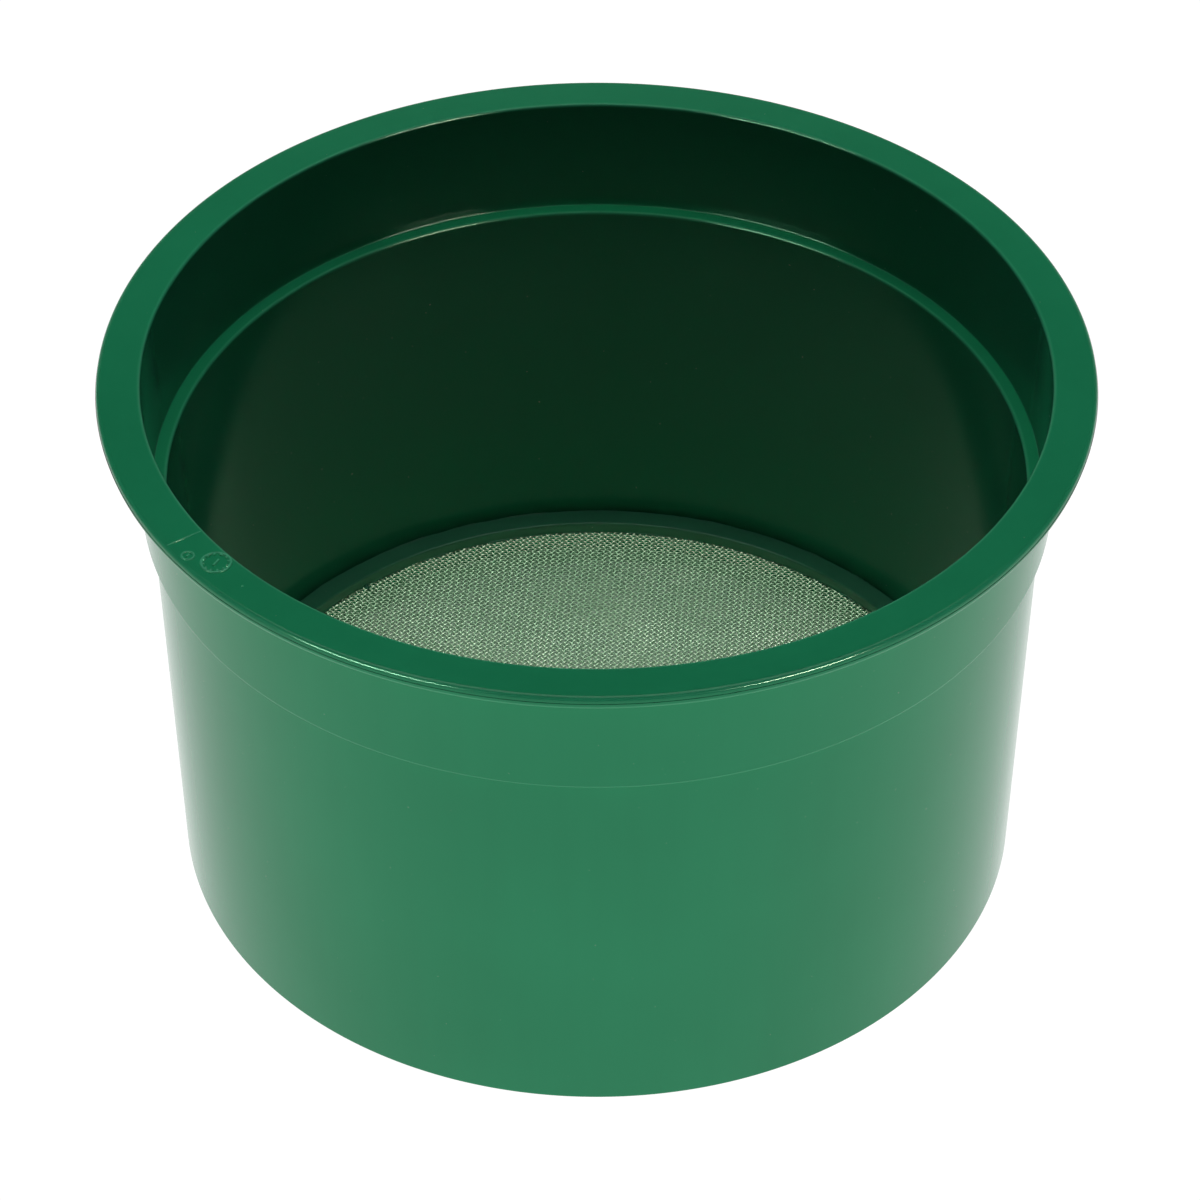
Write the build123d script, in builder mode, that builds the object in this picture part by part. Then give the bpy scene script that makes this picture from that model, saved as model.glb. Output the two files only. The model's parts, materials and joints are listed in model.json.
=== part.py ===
from build123d import *
from math import radians, sqrt, tan
import os

# A round soil sieve. The origin is the centre of the foot's underside, with +Z up.
# X runs along the warp wires of the cloth and Y along the weft wires. Millimetres and degrees.

# Top flange
body_height = 90.0
rim_radius = 76.0
rim_width = 6.7
rim_thickness = 2.2
rim_edge_radius = 0.5
mouth_edge_radius = 0.4

# Collar above the ledge: the foot of another sieve stands inside it
collar_depth = 19.5
collar_thickness = 1.7
collar_draft = 2.2
rim_root_radius = 0.8

# Stacking ledge inside, with the matching step outside
ledge_width = 2.2
ledge_thickness = 2.9
ledge_edge_radius = 0.35
step_edge_radius = 0.4

# Lower wall and foot
wall_thickness = 2.6
wall_draft = 1.65
foot_edge_radius = 0.3
skirt_root_radius = 0.5

# Inward flange that carries the cloth
seat_height = 6.1
seat_thickness = 2.0
seat_width = 3.7

# Retaining ring
ring_width = 3.6
ring_thickness = 2.5
ring_lip_width = 0.6
ring_edge_radius = 0.3
ring_clearance = 0.1

# Woven wire cloth, as two layers of straight wires
wire_diameter = 0.28
wire_pitch = 0.78
wire_gap = 0.02
cloth_edge_clearance = 0.3

# Moulding marks that stand up from the top flange: a date clock by the mouth, a gate ring by the outer edge
mark_height = 0.15
mark_line = 0.25
clock_radius = 2.3
clock_angle = 180.0
clock_ticks = 12
clock_tick_length = 0.5
clock_pointer_length = 1.9
gate_radius = 1.0
gate_margin = 0.2
gate_angle = 177.0

# Radii and heights that follow from the sizes above
mouth_radius = rim_radius - rim_width
rim_underside = body_height - rim_thickness
ledge_height = body_height - collar_depth
step_height = ledge_height - ledge_thickness
collar_slope = tan(radians(collar_draft))
wall_slope = tan(radians(wall_draft))
ledge_outer_radius = mouth_radius - collar_depth * collar_slope
ledge_inner_radius = ledge_outer_radius - ledge_width
step_outer_radius = ledge_outer_radius + collar_thickness
rim_root = step_outer_radius + (rim_underside - step_height) * collar_slope
clock_place_radius = mouth_radius + mouth_edge_radius + clock_radius
gate_place_radius = rim_radius - rim_edge_radius - gate_margin - gate_radius


def inner_wall_radius(height):
    return ledge_inner_radius - (ledge_height - height) * wall_slope


def outer_wall_radius(height):
    return inner_wall_radius(height) + wall_thickness


seat_outer_radius = inner_wall_radius(seat_height)
seat_inner_radius = seat_outer_radius - seat_width
seat_underside = seat_height - seat_thickness


def corner(outline, height, outermost):
    """The outline's vertex at a height that lies furthest out, or furthest in."""
    row = outline.vertices().filter_by_position(Axis.Y, height - 0.01, height + 0.01)
    ordered = row.sort_by(Axis.X)
    return ordered[-1] if outermost else ordered[0]


# Sieve body: one moulding, turned about Z
with BuildPart() as sieve_body:
    with BuildSketch(Plane.XZ) as wall_section:
        with BuildLine():
            Polyline(
                (inner_wall_radius(0), 0),
                (outer_wall_radius(0), 0),
                (outer_wall_radius(step_height), step_height),
                (step_outer_radius, step_height),
                (rim_root, rim_underside),
                (rim_radius, rim_underside),
                (rim_radius, body_height),
                (mouth_radius, body_height),
                (ledge_outer_radius, ledge_height),
                (ledge_inner_radius, ledge_height),
                (seat_outer_radius, seat_height),
                (seat_inner_radius, seat_height),
                (seat_inner_radius, seat_underside),
                (inner_wall_radius(0), seat_underside),
                close=True,
            )
        make_face()
        fillet(corner(wall_section, 0, True), foot_edge_radius)
        fillet(corner(wall_section, 0, False), foot_edge_radius)
        fillet(corner(wall_section, seat_underside, True), skirt_root_radius)
        fillet(corner(wall_section, step_height, True), step_edge_radius)
        fillet(corner(wall_section, ledge_height, False), ledge_edge_radius)
        fillet(corner(wall_section, rim_underside, False), rim_root_radius)
        fillet(corner(wall_section, rim_underside, True), rim_edge_radius)
        fillet(corner(wall_section, body_height, True), rim_edge_radius)
        fillet(corner(wall_section, body_height, False), mouth_edge_radius)
    revolve(axis=Axis.Z)
    # The date clock has plain ticks and a pointer, and the gate mark is a bare ring
    with BuildSketch(Plane.XY.offset(body_height)):
        with PolarLocations(clock_place_radius, 1, start_angle=clock_angle):
            Circle(clock_radius)
            Circle(clock_radius - mark_line, mode=Mode.SUBTRACT)
            with PolarLocations(clock_radius - mark_line - clock_tick_length / 2, clock_ticks):
                Rectangle(clock_tick_length, mark_line)
            Rectangle(clock_pointer_length, mark_line)
        with PolarLocations(gate_place_radius, 1, start_angle=gate_angle):
            Circle(gate_radius)
            Circle(gate_radius - mark_line, mode=Mode.SUBTRACT)
    extrude(amount=mark_height)

# Retaining ring: its lip stands on the seat flange outside the cloth, and its flat presses the cloth down
cloth_thickness = 2 * wire_diameter + 3 * wire_gap
ring_outer_radius = seat_outer_radius - ring_clearance
ring_inner_radius = ring_outer_radius - ring_width
ring_top = seat_height + ring_thickness
lip_inner_radius = ring_outer_radius - ring_lip_width

with BuildPart() as retaining_ring:
    with BuildSketch(Plane.XZ) as ring_section:
        with BuildLine():
            Polyline(
                (ring_inner_radius, seat_height + cloth_thickness),
                (lip_inner_radius, seat_height + cloth_thickness),
                (lip_inner_radius, seat_height),
                (ring_outer_radius, seat_height),
                (inner_wall_radius(ring_top) - ring_clearance, ring_top),
                (ring_inner_radius, ring_top),
                close=True,
            )
        make_face()
        fillet(corner(ring_section, ring_top, True), ring_edge_radius)
        fillet(corner(ring_section, ring_top, False), ring_edge_radius)
    revolve(axis=Axis.Z)

# Wire cloth: parallel wires, each cut off on the circle of the cloth's edge, laid once each way
cloth_radius = lip_inner_radius - cloth_edge_clearance
wires_each_side = int(cloth_radius / wire_pitch)
warp_height = seat_height + wire_gap + wire_diameter / 2
weft_height = warp_height + wire_diameter + wire_gap


def wire_along_x(offset):
    length = 2 * sqrt(cloth_radius**2 - offset**2)
    return Pos(0, offset, 0) * Rot(0, 90, 0) * Cylinder(wire_diameter / 2, length)


wires = [wire_along_x(line * wire_pitch) for line in range(-wires_each_side, wires_each_side + 1)]

with BuildPart() as warp_wires:
    with Locations((0, 0, warp_height)):
        add(wires)

with BuildPart() as weft_wires:
    with Locations((0, 0, weft_height)):
        add(wires, rotation=(0, 0, 90))

# Labels and files
sieve_body.part.label = "sieve_body"
retaining_ring.part.label = "retaining_ring"
warp_wires.part.label = "warp_wires"
weft_wires.part.label = "weft_wires"

os.makedirs("parts", exist_ok=True)
export_step(sieve_body.part, "parts/sieve_body.step")
export_step(retaining_ring.part, "parts/retaining_ring.step")
export_step(warp_wires.part, "parts/warp_wires.step")
export_step(weft_wires.part, "parts/weft_wires.step")
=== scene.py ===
import json
import math

import bmesh
import bpy
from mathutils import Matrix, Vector

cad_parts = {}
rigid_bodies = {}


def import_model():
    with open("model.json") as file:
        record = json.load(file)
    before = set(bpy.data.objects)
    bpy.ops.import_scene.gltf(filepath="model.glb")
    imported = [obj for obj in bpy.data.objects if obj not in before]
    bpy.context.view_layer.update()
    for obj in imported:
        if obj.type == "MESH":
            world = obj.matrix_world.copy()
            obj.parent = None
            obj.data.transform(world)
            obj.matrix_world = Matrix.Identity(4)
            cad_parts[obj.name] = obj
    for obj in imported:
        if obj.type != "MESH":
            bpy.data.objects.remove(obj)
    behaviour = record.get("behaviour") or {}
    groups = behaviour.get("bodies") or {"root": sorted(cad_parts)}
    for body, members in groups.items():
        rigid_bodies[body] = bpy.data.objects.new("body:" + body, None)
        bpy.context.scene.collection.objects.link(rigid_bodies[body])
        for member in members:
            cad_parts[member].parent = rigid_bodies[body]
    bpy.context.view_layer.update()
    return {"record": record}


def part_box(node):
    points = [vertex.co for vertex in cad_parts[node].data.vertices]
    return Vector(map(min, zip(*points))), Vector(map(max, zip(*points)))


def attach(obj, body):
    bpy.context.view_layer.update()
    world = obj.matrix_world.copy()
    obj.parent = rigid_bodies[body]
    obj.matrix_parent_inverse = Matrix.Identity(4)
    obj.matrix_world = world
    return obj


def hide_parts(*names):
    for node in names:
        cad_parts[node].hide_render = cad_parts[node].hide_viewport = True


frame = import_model()
print("frame loaded")


# shader and geometry maths is written as an expression on wrapped sockets
class Wire:
    def __init__(self, maker, socket):
        self.maker = maker
        self.socket = socket

    def maths(self, operation, first, second):
        return self.maker.node("ShaderNodeMath", {"operation": operation}, {0: first, 1: second})

    def __add__(self, other):
        return self.maths("ADD", self, other)

    def __radd__(self, other):
        return self.maths("ADD", other, self)

    def __sub__(self, other):
        return self.maths("SUBTRACT", self, other)

    def __rsub__(self, other):
        return self.maths("SUBTRACT", other, self)

    def __mul__(self, other):
        return self.maths("MULTIPLY", self, other)

    def __rmul__(self, other):
        return self.maths("MULTIPLY", other, self)

    def __truediv__(self, other):
        return self.maths("DIVIDE", self, other)

    def __pow__(self, other):
        return self.maths("POWER", self, other)

    def __gt__(self, other):
        return self.maths("GREATER_THAN", self, other)


class Maker:
    def __init__(self, tree):
        self.tree = tree
        tree.nodes.clear()

    def node(self, kind, settings, sockets, output=0):
        made = self.tree.nodes.new(kind)
        for name, value in settings.items():
            setattr(made, name, value)
        for name, value in sockets.items():
            if isinstance(value, Wire):
                self.tree.links.new(value.socket, made.inputs[name])
            else:
                made.inputs[name].default_value = value
        return Wire(self, made.outputs[output]) if len(made.outputs) else None

    def maths(self, operation, first, second=0.0):
        return self.node("ShaderNodeMath", {"operation": operation}, {0: first, 1: second})

    def between(self, value, low, high, newLow=0.0, newHigh=1.0):
        return self.node("ShaderNodeMapRange", {}, {0: value, 1: low, 2: high, 3: newLow, 4: newHigh})

    def noise(self, place, scale, detail=2.0, roughness=0.5):
        return self.node("ShaderNodeTexNoise", {},
                         {"Vector": place, "Scale": scale, "Detail": detail, "Roughness": roughness})


# a Geometry Nodes tree with named inputs, which ends in Realize Instances and Set Material
class Tree(Maker):
    def __init__(self, name, kinds):
        tree = bpy.data.node_groups.new(name, "GeometryNodeTree")
        super().__init__(tree)
        wanted = {"Geometry": "Geometry", "Material": "Material", **kinds}
        for label, kind in wanted.items():
            tree.interface.new_socket(label, in_out="INPUT", socket_type="NodeSocket" + kind)
        tree.interface.new_socket("Geometry", in_out="OUTPUT", socket_type="NodeSocketGeometry")
        entry = tree.nodes.new("NodeGroupInput")
        self.given = {socket.name: Wire(self, socket) for socket in entry.outputs if socket.name}

    def end(self, geometry):
        smooth = self.node("GeometryNodeSetShadeSmooth", {}, {"Geometry": geometry})
        real = self.node("GeometryNodeRealizeInstances", {}, {"Geometry": smooth})
        coated = self.node("GeometryNodeSetMaterial", {},
                           {"Geometry": real, "Material": self.given["Material"]})
        self.node("NodeGroupOutput", {}, {"Geometry": coated})
        return self.tree


def grow(name, tree, values, points=(), edges=()):
    start = bpy.data.meshes.new(name + "_start")
    start.from_pydata(points, edges, [])
    carrier = bpy.data.objects.new(name + "_carrier", start)
    bpy.context.scene.collection.objects.link(carrier)
    modifier = carrier.modifiers.new("grow", "NODES")
    modifier.node_group = tree
    for item in tree.interface.items_tree:
        if item.in_out == "INPUT" and item.name in values:
            modifier[item.identifier] = values[item.name]
    evaluated = carrier.evaluated_get(bpy.context.evaluated_depsgraph_get())
    mesh = bpy.data.meshes.new_from_object(evaluated)
    bpy.data.objects.remove(carrier)
    mesh.name = name
    return mesh


def faceOutwards(mesh):
    solid = bmesh.new()
    solid.from_mesh(mesh)
    if solid.calc_volume(signed=True) < 0:
        bmesh.ops.reverse_faces(solid, faces=solid.faces)
    solid.to_mesh(mesh)
    solid.free()


# joins meshes into one piece; each mesh keeps its own finish
def addPiece(name, meshes, replaced=()):
    whole = bmesh.new()
    finishes = []
    for mesh in meshes:
        faceOutwards(mesh)
        finish = [material for material in mesh.materials if material][0]
        if finish not in finishes:
            finishes.append(finish)
        for polygon in mesh.polygons:
            polygon.material_index = finishes.index(finish)
        whole.from_mesh(mesh)
    joined = bpy.data.meshes.new(name)
    whole.to_mesh(joined)
    whole.free()
    for finish in finishes:
        joined.materials.append(finish)
    piece = bpy.data.objects.new(name, joined)
    bpy.context.scene.collection.objects.link(piece)
    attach(piece, "root")
    if replaced:
        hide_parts(*replaced)
    return piece


# camera

view = {
    "lens": 149.5,  # mm on a 36 mm sensor
    "pitch": 40.56,  # degrees below the horizon
    "heading": -40.0,  # degrees from +Y, so the weave lies on the bias
    "distance": 0.7876,
    "aimHeight": 0.0433,
    "sideways": 0.0005,
}


def addCamera():
    camera = bpy.data.objects.new("camera", bpy.data.cameras.new("camera"))
    bpy.context.scene.collection.objects.link(camera)
    camera.data.lens = view["lens"]
    camera.data.clip_start = 0.05
    camera.data.clip_end = 20
    pitch = math.radians(view["pitch"])
    heading = math.radians(view["heading"])
    back = view["distance"] * math.cos(pitch)
    camera.location = (
        view["sideways"] * math.cos(heading) + back * math.sin(heading),
        view["sideways"] * math.sin(heading) - back * math.cos(heading),
        view["aimHeight"] + view["distance"] * math.sin(pitch),
    )
    camera.rotation_euler = (math.pi / 2 - pitch, 0, heading)
    bpy.context.scene.camera = camera


addCamera()


# the cloth's place and the wire's size

warpLow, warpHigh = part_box("warp_wires")
weftLow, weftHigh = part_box("weft_wires")
wireDiameter = warpHigh.z - warpLow.z
wireGap = weftLow.z - warpHigh.z
clothMiddle = (warpLow.z + weftHigh.z) / 2


# green plastic

plastic = {
    "deep": (0.0155, 0.300, 0.128, 1),
    "fresh": (0.0200, 0.348, 0.152, 1),
    "inside": (0.0160, 0.180, 0.098, 1),  # painted shade: a darker green for the walls that face the axis
    "reflected": (0.78, 1.0, 0.84, 1),  # tint of the reflections
    # painted shade: the ring's plastic is a darker green than the body's, standing in for the shade at the
    # bottom of the pan
    "ringDeep": (0.036, 0.190, 0.106, 1),
    "ringFresh": (0.054, 0.250, 0.145, 1),
    "dust": (0.30, 0.40, 0.33, 1),
    "paintedHighlight": (0.050, 0.440, 0.220, 1),  # painted highlight: paler green along the rounded edges
    "mark": (0.080, 0.540, 0.300, 1),  # painted highlight: paler green of the raised marks
    "edgeHighlightVaries": 0.6,  # how much the painted highlight of the edges varies
    "leastEdgeHighlight": 0.25,
    "edgeHighlightFull": 0.0003,  # distance from the edge
    "edgeHighlightEnds": 0.0006,
    "bumpDepth": 0.0004,
    "glossier": 0.85,  # the ring's roughness, as a part of the body's
    "roughness": 0.15,
    "unevenness": 0.05,  # how far the roughness wanders
    "peel": 0.03,  # strength of the fine orange peel
    "shine": 0.22,  # specular level
    "ringShine": 0.55,
}


def makePlastic(name, deep, fresh, inside, roughness, shine, edges=()):
    material = bpy.data.materials.new(name)
    material.use_nodes = True
    maker = Maker(material.node_tree)
    place = maker.node("ShaderNodeTexCoord", {}, {}, "Object")
    upright = maker.node("ShaderNodeMapping", {}, {"Vector": place, "Scale": (1, 1, 0.08)})
    flow = maker.noise(place, 22, 3)
    streak = maker.noise(upright, 260, 2, 0.5)
    fine = maker.noise(place, 5200, 2)
    peel = maker.noise(place, 900, 2)
    specks = maker.between(maker.noise(place, 1500, 1), 0.80, 0.83)
    scuffs = maker.between(maker.noise(upright, 1500, 2, 0.7), 0.72, 0.82)
    blend = maker.between(flow + streak * 0.2, 0.35, 0.85)
    green = maker.node("ShaderNodeMix", {"data_type": "RGBA"}, {"Factor": blend, 6: deep, 7: fresh}, 2)
    # painted shade: the walls facing the axis, above the cloth, are mixed towards a darker green that
    # stands in for the shade inside the pan
    level = maker.node("ShaderNodeVectorMath", {"operation": "MULTIPLY"}, {0: place, 1: (1, 1, 0)})
    outward = maker.node("ShaderNodeVectorMath", {"operation": "NORMALIZE"}, {0: level})
    height = maker.node("ShaderNodeSeparateXYZ", {}, {"Vector": place}, "Z")
    facing = maker.node("ShaderNodeTexCoord", {}, {}, "Normal")
    facing = maker.node("ShaderNodeVectorMath", {"operation": "DOT_PRODUCT"},
                        {0: facing, 1: outward}, "Value")
    paintedShadeMask = maker.between(0 - facing, 0.4, 0.95) * (height > warpHigh.z)
    green = maker.node("ShaderNodeMix", {"data_type": "RGBA"}, {"Factor": paintedShadeMask, 6: green, 7: inside}, 2)
    # painted highlight: the rounded edges are made a little paler, unevenly along their length
    reach = maker.node("ShaderNodeVectorMath", {"operation": "LENGTH"}, {0: level}, "Value")
    for edgeRadius, edgeHeight in edges:
        away = ((reach - edgeRadius) ** 2 + (height - edgeHeight) ** 2) ** 0.5
        near = 1 - maker.between(away, plastic["edgeHighlightFull"], plastic["edgeHighlightEnds"])
        edgeHighlight = near * (plastic["leastEdgeHighlight"] + flow * plastic["edgeHighlightVaries"])
        green = maker.node("ShaderNodeMix", {"data_type": "RGBA"},
                           {"Factor": edgeHighlight, 6: green, 7: plastic["paintedHighlight"]}, 2)
    colour = maker.node("ShaderNodeMix", {"data_type": "RGBA"},
                        {"Factor": specks * 0.5, 6: green, 7: plastic["dust"]}, 2)
    gloss = roughness + (streak - 0.5) * plastic["unevenness"] + scuffs * 0.08 + specks * 0.3
    relief = peel * 0.7 + fine * 0.3 - scuffs * 0.3 + specks * 0.8
    bump = maker.node("ShaderNodeBump", {},
                      {"Strength": plastic["peel"], "Distance": plastic["bumpDepth"], "Height": relief})
    surface = maker.node("ShaderNodeBsdfPrincipled", {},
                         {"Base Color": colour, "Roughness": gloss, "Normal": bump, "IOR": 1.49,
                          "Specular IOR Level": shine, "Specular Tint": plastic["reflected"]})
    maker.node("ShaderNodeOutputMaterial", {}, {"Surface": surface})
    return material


# painted highlight: the raised marks get a paler green than the body
markPlastic = makePlastic("mark_plastic_painted_highlight", plastic["paintedHighlight"], plastic["mark"], plastic["mark"],
                          plastic["roughness"], plastic["shine"])
ringPlastic = makePlastic("ring_plastic", plastic["ringDeep"], plastic["ringFresh"], plastic["ringDeep"],
                          plastic["roughness"] * plastic["glossier"], plastic["ringShine"])


# drawn steel wire

steel = {
    "bright": (0.90, 1.0, 0.82, 1),
    "dull": (0.76, 0.90, 0.70, 1),
    "paintedHollowShade": (0.13, 0.24, 0.14, 1),  # painted shade below the knuckles
    "paintedHighlightFrom": 0.67,  # the painted highlight begins at this height in wire diameters above the middle of the cloth
    "paintedHighlightTo": 0.99,
    "roughness": 0.55,
    "metallic": 0.35,
}


def makeSteel(name, along):
    material = bpy.data.materials.new(name)
    material.use_nodes = True
    maker = Maker(material.node_tree)
    place = maker.node("ShaderNodeTexCoord", {}, {}, "Object")
    drawn = maker.node("ShaderNodeMapping", {}, {"Vector": place, "Scale": along})
    lines = maker.noise(drawn, 9000, 2)
    film = maker.noise(place, 60, 3)
    tone = maker.between(film + lines * 0.4, 0.45, 0.95)
    metal = maker.node("ShaderNodeMix", {"data_type": "RGBA"},
                       {"Factor": tone, 6: steel["dull"], 7: steel["bright"]}, 2)
    # painted highlight and painted shade: the knuckle tops are made bright and the hollows between them
    # dark, by height
    height = maker.node("ShaderNodeSeparateXYZ", {}, {"Vector": place}, "Z")
    rise = (height - clothMiddle) / wireDiameter
    paintedHighlight = maker.between(rise, steel["paintedHighlightFrom"], steel["paintedHighlightTo"])
    colour = maker.node("ShaderNodeMix", {"data_type": "RGBA"},
                        {"Factor": paintedHighlight, 6: steel["paintedHollowShade"], 7: metal}, 2)
    gloss = steel["roughness"] + (lines - 0.5) * 0.2
    surface = maker.node("ShaderNodeBsdfPrincipled", {},
                         {"Base Color": colour, "Roughness": gloss, "Metallic": steel["metallic"]})
    maker.node("ShaderNodeOutputMaterial", {}, {"Surface": surface})
    return material


warpSteel = makeSteel("warp_steel", (0.05, 1, 1))
weftSteel = makeSteel("weft_steel", (1, 0.05, 1))
print("materials made")


# turned pieces: an outline in radius and height, swept round Z

lathe = {"segments": 256, "arcSteps": 5, "support": 0.00012}


def roundOff(corners):
    # each corner is radius, height and edge radius; a support point beside each arc keeps flats flat
    points = []
    count = len(corners)
    for index, (radius, height, edge) in enumerate(corners):
        here = Vector((radius, height))
        before = Vector(corners[index - 1][:2]) - here
        after = Vector(corners[(index + 1) % count][:2]) - here
        reach = edge / math.tan(before.angle(after) / 2)
        before.normalize()
        after.normalize()
        centre = here + (before + after).normalized() * edge / math.sin(before.angle(after) / 2)
        first = here + before * reach - centre
        turn = (here + after * reach - centre).angle(first)
        if first.x * (here - centre).y - first.y * (here - centre).x < 0:
            turn = -turn
        points.append(here + before * (reach + lathe["support"]))
        for step in range(lathe["arcSteps"] + 1):
            angle = turn * step / lathe["arcSteps"]
            points.append(centre + Vector((
                first.x * math.cos(angle) - first.y * math.sin(angle),
                first.x * math.sin(angle) + first.y * math.cos(angle),
            )))
        points.append(here + after * (reach + lathe["support"]))
    return points


def makeLatheTree():
    tree = Tree("lathe", {"Segments": "Int", "Path Radius": "Float"})
    outline = tree.node("GeometryNodeMeshToCurve", {}, {"Mesh": tree.given["Geometry"]})
    path = tree.node("GeometryNodeCurvePrimitiveCircle", {},
                     {"Resolution": tree.given["Segments"], "Radius": tree.given["Path Radius"]})
    swept = tree.node("GeometryNodeCurveToMesh", {}, {"Curve": path, "Profile Curve": outline})
    return tree.end(swept)


latheTree = makeLatheTree()


def turnOnLathe(name, corners, material):
    outline = roundOff(corners)
    pathRadius = min(point.x for point in outline) / 2
    points = [(point.x - pathRadius, -point.y, 0) for point in outline]
    edges = [(index, (index + 1) % len(points)) for index in range(len(points))]
    values = {"Segments": lathe["segments"], "Path Radius": pathRadius, "Material": material}
    return grow(name, latheTree, values, points, edges)


# sieve body

mounts = {mount["name"]: mount["pos_m"] for mount in frame["record"]["mounts"]}
ringLow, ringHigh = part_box("retaining_ring")
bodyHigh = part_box("sieve_body")[1]

body = {
    "markHeight": 0.00015,
    "rimWidth": 0.0067,
    "rimEdge": 0.0007,
    "mouthEdge": 0.0004,
    "partingDrop": 0.0010,  # from the top of the flange to the mould's parting line
    "partingStep": 0.00007,
    "collarDraft": 2.2,
    "collarThickness": 0.0017,
    "rimRoot": 0.0008,
    "ledgeWidth": 0.0022,
    "ledgeThickness": 0.0029,
    "ledgeEdge": 0.00035,
    "stepEdge": 0.0004,
    "wallThickness": 0.0026,
    "wallDraft": 1.65,
    "footEdge": 0.0003,
    "seatThickness": 0.0020,
    "seatWidth": 0.0037,
    "innerCorner": 0.0002,
}
rimRadius = bodyHigh.y
bodyHeight = bodyHigh.z - body["markHeight"]
rimUnderside = mounts["flange_underside"][2]
ledgeHeight = mounts["stacking_ledge"][2]
seatHeight = ringLow.z
mouthRadius = rimRadius - body["rimWidth"]
stepHeight = ledgeHeight - body["ledgeThickness"]
collarSlope = math.tan(math.radians(body["collarDraft"]))
wallSlope = math.tan(math.radians(body["wallDraft"]))
ledgeOuter = mouthRadius - (bodyHeight - ledgeHeight) * collarSlope
ledgeInner = ledgeOuter - body["ledgeWidth"]
stepOuter = ledgeOuter + body["collarThickness"]
highlightedEdges = ((rimRadius, bodyHeight), (mouthRadius, bodyHeight), (ledgeInner, ledgeHeight))
bodyPlastic = makePlastic("green_plastic", plastic["deep"], plastic["fresh"], plastic["inside"],
                          plastic["roughness"], plastic["shine"], highlightedEdges)


def innerWall(height):
    return ledgeInner - (ledgeHeight - height) * wallSlope


def outerWall(height):
    return innerWall(height) + body["wallThickness"]


def bodyOutline():
    small = body["innerCorner"]
    parting = bodyHeight - body["partingDrop"]
    lowerRim = rimRadius - body["partingStep"]
    seatUnder = seatHeight - body["seatThickness"]
    seatInner = innerWall(seatHeight) - body["seatWidth"]
    return [
        (innerWall(0), 0, body["footEdge"]),
        (outerWall(0), 0, body["footEdge"]),
        (outerWall(stepHeight), stepHeight, small),
        (stepOuter, stepHeight, body["stepEdge"]),
        (stepOuter + (rimUnderside - stepHeight) * collarSlope, rimUnderside, body["rimRoot"]),
        (lowerRim, rimUnderside, body["rimEdge"]),
        (lowerRim, parting, body["partingStep"] * 0.2),
        (rimRadius, parting, body["partingStep"] * 0.4),
        (rimRadius, bodyHeight, body["rimEdge"]),
        (mouthRadius, bodyHeight, body["mouthEdge"]),
        (ledgeOuter, ledgeHeight, small),
        (ledgeInner, ledgeHeight, body["ledgeEdge"]),
        (innerWall(seatHeight), seatHeight, small / 2),
        (seatInner, seatHeight, small),
        (seatInner, seatUnder, small),
        (innerWall(0), seatUnder, body["rimEdge"]),
    ]


# moulding marks on the flange: a date clock of plain ticks, a bare gate ring, a witness line and a pip

marks = {
    "line": 0.00023,  # half the width of a raised line
    "clockRadius": 0.00217,
    "clockAngle": 180.0,
    "clockInset": 0.0040,  # from the flange's outer edge to the clock's centre
    "ticks": 12,
    "tickLength": 0.0005,
    "pointer": 0.0007,
    "gateRadius": 0.00090,
    "gateAngle": 177.0,
    "gateInset": 0.0017,
    "gateTick": 0.0002,
    "gatePointer": 0.0003,
    "witnessAngle": 174.1,
    "witnessHalf": 0.00014,
    "witnessShort": 0.0012,  # how much shorter it is than the flange is wide
    "witnessSunk": 0.00005,
    "pipRadius": 0.00022,
    "pipAngle": 185.25,
    "pipInset": 0.0035,
    "pipSunk": 0.0001,
}


def makeRingMarkTree():
    tree = Tree("ring_mark", {"Radius": "Float", "Line": "Float", "Ticks": "Int", "Tick Length": "Float",
                              "Pointer": "Float"})
    given = tree.given
    section = tree.node("GeometryNodeCurvePrimitiveCircle", {},
                        {"Resolution": 8, "Radius": given["Line"]})
    circle = tree.node("GeometryNodeCurvePrimitiveCircle", {},
                       {"Resolution": 48, "Radius": given["Radius"]})
    hoop = tree.node("GeometryNodeCurveToMesh", {}, {"Curve": circle, "Profile Curve": section})
    half = tree.node("ShaderNodeCombineXYZ", {}, {"X": given["Tick Length"] * 0.5})
    start = tree.node("ShaderNodeVectorMath", {"operation": "SCALE"}, {0: half, "Scale": -1.0})
    bar = tree.node("GeometryNodeCurvePrimitiveLine", {}, {"Start": start, "End": half})
    bead = tree.node("GeometryNodeCurveToMesh", {},
                     {"Curve": bar, "Profile Curve": section, "Fill Caps": True})
    dial = tree.node("GeometryNodeMeshCircle", {},
                     {"Vertices": given["Ticks"], "Radius": given["Radius"] - given["Tick Length"] * 0.5})
    place = tree.node("GeometryNodeInputPosition", {}, {})
    turned = tree.node("FunctionNodeAlignRotationToVector", {"axis": "X"}, {"Vector": place})
    ticks = tree.node("GeometryNodeInstanceOnPoints", {},
                      {"Points": dial, "Instance": bead, "Rotation": turned,
                       "Selection": given["Ticks"] > 1.5})
    end = tree.node("ShaderNodeCombineXYZ", {}, {"X": given["Pointer"], "Y": given["Pointer"] * 0.4})
    tail = tree.node("ShaderNodeVectorMath", {"operation": "SCALE"}, {0: end, "Scale": -1.0})
    pointerLine = tree.node("GeometryNodeCurvePrimitiveLine", {}, {"Start": tail, "End": end})
    pointer = tree.node("GeometryNodeCurveToMesh", {},
                        {"Curve": pointerLine, "Profile Curve": section, "Fill Caps": True})
    joined = tree.node("GeometryNodeJoinGeometry", {}, {"Geometry": pointer})
    for part in (hoop, ticks):
        tree.tree.links.new(part.socket, joined.socket.node.inputs["Geometry"])
    return tree.end(joined)


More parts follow.
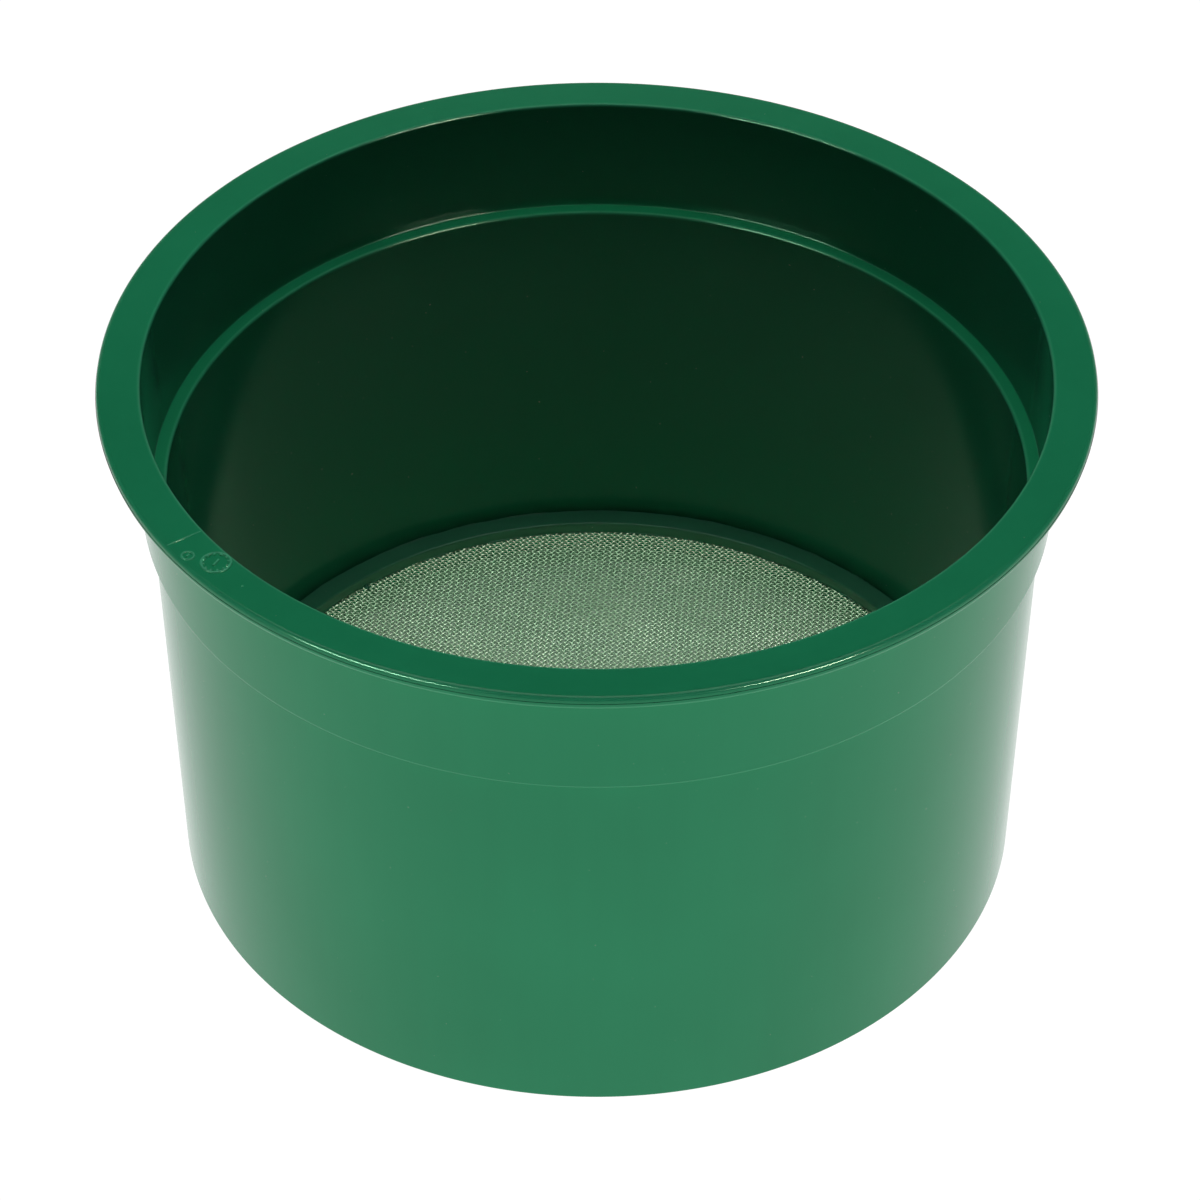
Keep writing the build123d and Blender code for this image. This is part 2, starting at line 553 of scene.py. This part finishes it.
# carries a mesh out to a radius, turns it round Z and lifts it
def onFlange(mesh, radius, degrees, height):
    angle = math.radians(degrees)
    for vertex in mesh.vertices:
        x, y, z = vertex.co
        vertex.co = (
            (x + radius) * math.cos(angle) - y * math.sin(angle),
            (x + radius) * math.sin(angle) + y * math.cos(angle),
            z + height,
        )
    return mesh


def roundBar(name, length, half, material):
    solid = bmesh.new()
    bmesh.ops.create_uvsphere(solid, u_segments=12, v_segments=8, radius=half)
    for vertex in solid.verts:
        vertex.co.x += math.copysign(length / 2, vertex.co.x) if abs(vertex.co.x) > 1e-9 else 0
    for face in solid.faces:
        face.smooth = True
    mesh = bpy.data.meshes.new(name)
    solid.to_mesh(mesh)
    solid.free()
    mesh.materials.append(material)
    return mesh


def mouldMarks():
    tree = makeRingMarkTree()
    clock = grow("date_clock", tree, {
        "Radius": marks["clockRadius"], "Line": marks["line"], "Ticks": marks["ticks"],
        "Tick Length": marks["tickLength"], "Pointer": marks["pointer"], "Material": markPlastic,
    })
    gate = grow("gate_ring", tree, {
        "Radius": marks["gateRadius"], "Line": marks["line"] * 0.8, "Ticks": 1,
        "Tick Length": marks["gateTick"], "Pointer": marks["gatePointer"], "Material": markPlastic,
    })
    witnessLength = body["rimWidth"] - marks["witnessShort"]
    witness = roundBar("witness", witnessLength, marks["witnessHalf"], markPlastic)
    pip = roundBar("pip", 0, marks["pipRadius"], markPlastic)
    midRim = rimRadius - body["rimWidth"] / 2
    return [
        onFlange(clock, rimRadius - marks["clockInset"], marks["clockAngle"], bodyHeight),
        onFlange(gate, rimRadius - marks["gateInset"], marks["gateAngle"], bodyHeight),
        onFlange(witness, midRim, marks["witnessAngle"], bodyHeight - marks["witnessSunk"]),
        onFlange(pip, rimRadius - marks["pipInset"], marks["pipAngle"], bodyHeight - marks["pipSunk"]),
    ]


shell = turnOnLathe("shell", bodyOutline(), bodyPlastic)
addPiece("sieve_pan", [shell] + mouldMarks(), ["sieve_body"])
print("sieve body made")


# retaining ring, with the uneven bead of its weld and of the plastic squeezed onto the cloth

ring = {
    "width": 0.0036,
    "lip": 0.0006,
    "edge": 0.0003,
    "beadRadius": 0.00013,
    "beadUneven": 0.9,
    "beadInset": 0.00005,
    "beadSunk": 0.0002,
    "smearRadius": 0.00012,
    "blobLength": 0.0006,
    "blobRadius": 0.00045,
    "blobAngle": 90.3,
}
clothTop = weftHigh.z + wireGap
ringOuter = ringHigh.y


def ringOutline():
    lean = (ringHigh.z - ringLow.z) * wallSlope
    ringInner = ringOuter - lean - ring["width"]
    lipInner = ringOuter - lean - ring["lip"]
    tiny = 0.00004
    return [
        (ringInner, clothTop, tiny * 3),
        (lipInner, clothTop, tiny),
        (lipInner, ringLow.z, tiny),
        (ringOuter - lean, ringLow.z, tiny),
        (ringOuter, ringHigh.z, ring["edge"]),
        (ringInner, ringHigh.z, ring["edge"]),
    ]


def makeBeadTree():
    tree = Tree("bead", {"Radius": "Float", "Thickness": "Float", "Height": "Float", "Uneven": "Float",
                         "Seed": "Float"})
    given = tree.given
    circle = tree.node("GeometryNodeCurvePrimitiveCircle", {},
                       {"Resolution": 720, "Radius": given["Radius"]})
    place = tree.node("GeometryNodeInputPosition", {}, {})
    lumps = tree.node("ShaderNodeTexNoise", {"noise_dimensions": "4D"},
                      {"Vector": place, "W": given["Seed"], "Scale": 210.0, "Detail": 3.0})
    size = tree.maths("MAXIMUM", 1 + (lumps - 0.55) * 5 * given["Uneven"], 0.15)
    lift = tree.node("ShaderNodeCombineXYZ", {},
                     {"Z": given["Height"] + (lumps - 0.5) * given["Thickness"]})
    laid = tree.node("GeometryNodeSetPosition", {}, {"Geometry": circle, "Offset": lift})
    section = tree.node("GeometryNodeCurvePrimitiveCircle", {},
                        {"Resolution": 7, "Radius": given["Thickness"]})
    bead = tree.node("GeometryNodeCurveToMesh", {},
                     {"Curve": laid, "Profile Curve": section, "Scale": size})
    return tree.end(bead)


beadTree = makeBeadTree()
ringInnerRadius = min(corner[0] for corner in ringOutline())
weldBead = grow("weld_bead", beadTree, {
    "Radius": ringOuter - ring["beadInset"], "Thickness": ring["beadRadius"],
    "Height": ringHigh.z - ring["beadSunk"],
    "Uneven": ring["beadUneven"], "Seed": 3.0, "Material": ringPlastic,
})
smearBead = grow("smear_bead", beadTree, {
    "Radius": ringInnerRadius, "Thickness": ring["smearRadius"], "Height": clothTop - 0.00002,
    "Uneven": 1.0, "Seed": 11.0, "Material": ringPlastic,
})
blob = roundBar("blob", ring["blobLength"], ring["blobRadius"], ringPlastic)
onFlange(blob, ringInnerRadius - 0.0002, ring["blobAngle"], clothTop - 0.0001)
hoop = turnOnLathe("hoop", ringOutline(), ringPlastic)
addPiece("cloth_ring", [hoop, weldBead, smearBead, blob], ["retaining_ring"])
print("retaining ring made")


# woven cloth: each wire rides over and under the wires that cross it

cloth = {
    "pitch": 0.00078,
    "sides": 4,  # faces round a wire
    "crimp": 0.51,  # rise of a wire at a crossing, in wire diameters
    "bend": 0.14,  # half the length of the bend over a crossing, in pitches
    "bendDrop": 0.08,  # fall of the wire at the bend's end, in wire diameters
    "sag": 0.00008,  # how far the cloth waves up and down
    "parts": {"near": (-1.0, -0.27), "mid": (-0.27, 0.27), "far": (0.27, 1.0)},  # in cloth radii
}
clothRadius = warpHigh.x


def makeClothTree():
    tree = Tree("cloth", {"Pitch": "Float", "Diameter": "Float", "Reach": "Float", "Crimp": "Float",
                          "Bend": "Float", "Drop": "Float", "Sag": "Float", "Height": "Float",
                          "Turn": "Float", "From": "Float", "To": "Float", "Lines": "Int", "Sides": "Int"})
    given = tree.given
    pitch = given["Pitch"]
    # a grid whose edges along X are the wires, with three steps to each crossing
    width = pitch * (given["Lines"] - 1)
    steps = 3 * given["Lines"] - 2
    grid = tree.node("GeometryNodeMeshGrid", {},
                     {"Size X": width, "Size Y": width, "Vertices X": steps, "Vertices Y": given["Lines"]})
    firstEnd = tree.node("GeometryNodeInputMeshEdgeVertices", {}, {}, "Position 1")
    lastEnd = tree.node("GeometryNodeInputMeshEdgeVertices", {}, {}, "Position 2")
    firstY = tree.node("ShaderNodeSeparateXYZ", {}, {"Vector": firstEnd}, "Y")
    lastY = tree.node("ShaderNodeSeparateXYZ", {}, {"Vector": lastEnd}, "Y")
    across = tree.maths("ABSOLUTE", firstY - lastY) > pitch * 0.5
    lines = tree.node("GeometryNodeDeleteGeometry", {"domain": "EDGE", "mode": "EDGE_FACE"},
                      {"Geometry": grid, "Selection": across})
    place = tree.node("GeometryNodeInputPosition", {}, {})
    x = tree.node("ShaderNodeSeparateXYZ", {}, {"Vector": place}, "X")
    y = tree.node("ShaderNodeSeparateXYZ", {}, {"Vector": place}, "Y")
    radius = tree.maths("SQRT", x * x + y * y)
    below = tree.maths("LESS_THAN", y, given["From"])
    beyond = radius > given["Reach"]
    outside = tree.maths("MAXIMUM", tree.maths("MAXIMUM", below, y > given["To"]), beyond)
    trimmed = tree.node("GeometryNodeDeleteGeometry", {"domain": "POINT"},
                        {"Geometry": lines, "Selection": outside})
    # the outer two points of each three close in on the crossing; the wire is straight between bends
    crossing = tree.maths("ROUND", x / pitch)
    beside = x / pitch - crossing
    bent = tree.maths("ABSOLUTE", beside) > 0.1
    over = tree.maths("COSINE", (crossing + tree.maths("ROUND", y / pitch)) * math.pi)
    crimp = over * (tree.maths("ABSOLUTE", given["Crimp"]) - bent * given["Drop"])
    crimp = crimp * tree.maths("SIGN", given["Crimp"])
    closeIn = beside * (given["Bend"] * 3 - 1) * pitch
    flat = tree.node("ShaderNodeVectorRotate", {"rotation_type": "Z_AXIS"},
                     {"Vector": place, "Angle": given["Turn"]})
    ripple = tree.noise(flat, 38, 2) - 0.5
    edge = tree.between(radius, given["Reach"] * 0.8, given["Reach"] * 0.95, 1, 0)
    rise = given["Height"] + crimp + ripple * given["Sag"] * 2 * edge
    shift = tree.node("ShaderNodeCombineXYZ", {}, {"X": closeIn, "Z": rise})
    crimped = tree.node("GeometryNodeSetPosition", {}, {"Geometry": trimmed, "Offset": shift})
    paths = tree.node("GeometryNodeMeshToCurve", {}, {"Mesh": crimped})
    section = tree.node("GeometryNodeCurvePrimitiveCircle", {},
                        {"Resolution": given["Sides"], "Radius": given["Diameter"] * 0.5})
    wires = tree.node("GeometryNodeCurveToMesh", {},
                      {"Curve": paths, "Profile Curve": section, "Fill Caps": True})
    aim = tree.node("ShaderNodeCombineXYZ", {}, {"Z": given["Turn"]})
    turned = tree.node("GeometryNodeTransform", {}, {"Geometry": wires, "Rotation": aim})
    return tree.end(turned)


clothTree = makeClothTree()


def weave(name, turn, side, material, replaced):
    # three pieces across the cloth keep each one light
    lines = 2 * int(clothRadius / cloth["pitch"]) + 1
    for part, (start, end) in cloth["parts"].items():
        mesh = grow(name + "_" + part, clothTree, {
            "Pitch": cloth["pitch"], "Diameter": wireDiameter, "Reach": clothRadius,
            "Crimp": wireDiameter * cloth["crimp"] * side, "Bend": cloth["bend"],
            "Drop": wireDiameter * cloth["bendDrop"], "Sag": cloth["sag"], "Height": clothMiddle,
            "Turn": math.radians(turn), "From": start * clothRadius, "To": end * clothRadius,
            "Lines": lines, "Sides": cloth["sides"], "Material": material,
        })
        piece = addPiece(name + "_" + part, [mesh], replaced)
        print(piece.name, len(piece.data.polygons), "faces")


weave("warp_wires", 0, 1, warpSteel, ["warp_wires"])
weave("weft_wires", 90, -1, weftSteel, ["weft_wires"])
print("cloth woven")


# floor and light

studio = {
    "floorGlow": 1.05,
    "floorColour": (0.86, 0.86, 0.86, 1),
    "floorHalf": 3.0,
    "throughPlastic": (0.05, 0.10, 0.055, 1),  # green light that reaches the floor inside the foot
    "atFoot": (0.026, 0.052, 0.029, 1),  # and what is left of it beside the foot's wall
    "roomLight": (0.02, 0.02, 0.02, 1),
    "wallReach": 2.9,
    "wallTop": 3.0,
    "wallSides": 64,
    "topPower": 4.8,
    "topWidth": 0.9,
    "topDepth": 0.75,
    "topHeight": 1.1,
    "topBack": 0.25,
    "cardGlow": 0.38,
    "cardTop": 0.62,
    "cardReach": 1.1,
    "clothPower": 18.5,
    "clothSize": 0.5,
    "clothPlace": (0.45, 0.97),  # distance in front and height
    "stripPlace": (0.85, 0.47),
    "stripAim": (0, 0, 0.08),
    "strips": {  # degrees from the camera, width, height, power, colour
        "right": (42, 0.34, 0.14, 19.0, (0.95, 1, 0.82)),
        "left": (-47, 0.50, 0.18, 22.0, (0.6, 1, 0.75)),
    },
}


def makeFloor():
    material = bpy.data.materials.new("pale_floor")
    material.use_nodes = True
    maker = Maker(material.node_tree)
    place = maker.node("ShaderNodeTexCoord", {}, {}, "Object")
    x = maker.node("ShaderNodeSeparateXYZ", {}, {"Vector": place}, "X")
    y = maker.node("ShaderNodeSeparateXYZ", {}, {"Vector": place}, "Y")
    # the lit table is dark where the foot covers it, and darkest beside the foot's wall
    reach = maker.maths("SQRT", x * x + y * y)
    clear = reach > outerWall(0) - 0.001
    fade = maker.between(reach, outerWall(0) - 0.024, outerWall(0) - 0.004)
    through = maker.node("ShaderNodeMix", {"data_type": "RGBA"},
                         {"Factor": fade, 6: studio["throughPlastic"], 7: studio["atFoot"]}, 2)
    grain = maker.noise(place, 300, 2)
    surface = maker.node("ShaderNodeBsdfPrincipled", {},
                         {"Base Color": studio["floorColour"], "Roughness": 0.7 + grain * 0.1,
                          "Specular IOR Level": 0.2})
    glow = maker.node("ShaderNodeEmission", {}, {"Strength": studio["floorGlow"]})
    tinted = maker.node("ShaderNodeEmission", {}, {"Color": through})
    under = maker.node("ShaderNodeAddShader", {}, {0: surface, 1: tinted})
    mixed = maker.node("ShaderNodeMixShader", {}, {"Fac": clear, 1: under, 2: glow})
    maker.node("ShaderNodeOutputMaterial", {}, {"Surface": mixed})
    mesh = bpy.data.meshes.new("floor")
    half = studio["floorHalf"]
    corners = [(-half, -half, 0), (half, -half, 0), (half, half, 0), (-half, half, 0)]
    mesh.from_pydata(corners, [], [(0, 1, 2, 3)])
    mesh.materials.append(material)
    floor = bpy.data.objects.new("floor", mesh)
    bpy.context.scene.collection.objects.link(floor)


def addSoftbox(name, place, target, width, height, power, colour):
    lamp = bpy.data.lights.new(name, "AREA")
    lamp.shape = "RECTANGLE"
    lamp.size = width
    lamp.size_y = height
    lamp.energy = power
    lamp.color = colour
    box = bpy.data.objects.new(name, lamp)
    bpy.context.scene.collection.objects.link(box)
    box.location = place
    box.rotation_euler = (Vector(target) - Vector(place)).to_track_quat("-Z", "Y").to_euler()
    return box


# a place round the object: degrees to the right of the camera, distance and height
def around(degrees, reach, height):
    angle = math.radians(view["heading"] - 90 + degrees)
    return (reach * math.cos(angle), reach * math.sin(angle), height)


def lightRoom():
    world = bpy.data.worlds.new("room")
    world.use_nodes = True
    maker = Maker(world.node_tree)
    air = maker.node("ShaderNodeBackground", {}, {"Color": studio["roomLight"]})
    maker.node("ShaderNodeOutputWorld", {}, {"Surface": air})
    bpy.context.scene.world = world
    addSoftbox("top_softbox", around(180, studio["topBack"], studio["topHeight"]), (0, 0, 0),
               studio["topWidth"], studio["topDepth"], studio["topPower"], (1, 1, 1))
    # one softbox that only the cloth gets
    wires = bpy.data.collections.new("wires")
    for piece in list(bpy.context.scene.collection.all_objects):
        if "_wires_" in piece.name and piece.type == "MESH":
            wires.objects.link(piece)
    size = studio["clothSize"]
    forCloth = addSoftbox("cloth_softbox", around(0, *studio["clothPlace"]), (0, 0, 0), size, size,
                          studio["clothPower"], (1, 1, 0.95))
    forCloth.light_linking.receiver_collection = wires
    # strips that only glint on edges
    for name, (degrees, width, height, power, colour) in studio["strips"].items():
        strip = addSoftbox(name + "_strip", around(degrees, *studio["stripPlace"]), studio["stripAim"],
                           width, height, power, colour)
        strip.visible_diffuse = False


def addGlowing(name, corners, faces, strength):
    material = bpy.data.materials.new(name)
    material.use_nodes = True
    maker = Maker(material.node_tree)
    glow = maker.node("ShaderNodeEmission", {}, {"Strength": strength})
    maker.node("ShaderNodeOutputMaterial", {}, {"Surface": glow})
    mesh = bpy.data.meshes.new(name)
    mesh.from_pydata(corners, [], faces)
    mesh.materials.append(material)
    card = bpy.data.objects.new(name, mesh)
    bpy.context.scene.collection.objects.link(card)
    return card


# a card behind the object, which is only reflected
def addBackCard():
    low = [around(140, studio["cardReach"], 0), around(220, studio["cardReach"], 0)]
    high = [(x, y, studio["cardTop"]) for x, y, z in reversed(low)]
    card = addGlowing("back_card", low + high, [(0, 1, 2, 3)], studio["cardGlow"])
    card.visible_camera = False


# a pale wall all round, which only the camera sees
def addWall():
    sides = studio["wallSides"]
    low = [around(360 * side / sides, studio["wallReach"], -0.1) for side in range(sides)]
    high = [(x, y, studio["wallTop"]) for x, y, z in low]
    faces = []
    for side in range(sides):
        following = (side + 1) % sides
        faces.append((side, following, sides + following, sides + side))
    wall = addGlowing("wall", low + high, faces, studio["floorGlow"])
    wall.visible_diffuse = False
    wall.visible_glossy = False
    wall.visible_transmission = False
    wall.visible_shadow = False


addWall()
addBackCard()
makeFloor()
lightRoom()
bpy.context.scene.view_settings.view_transform = "Standard"
print("studio lit")
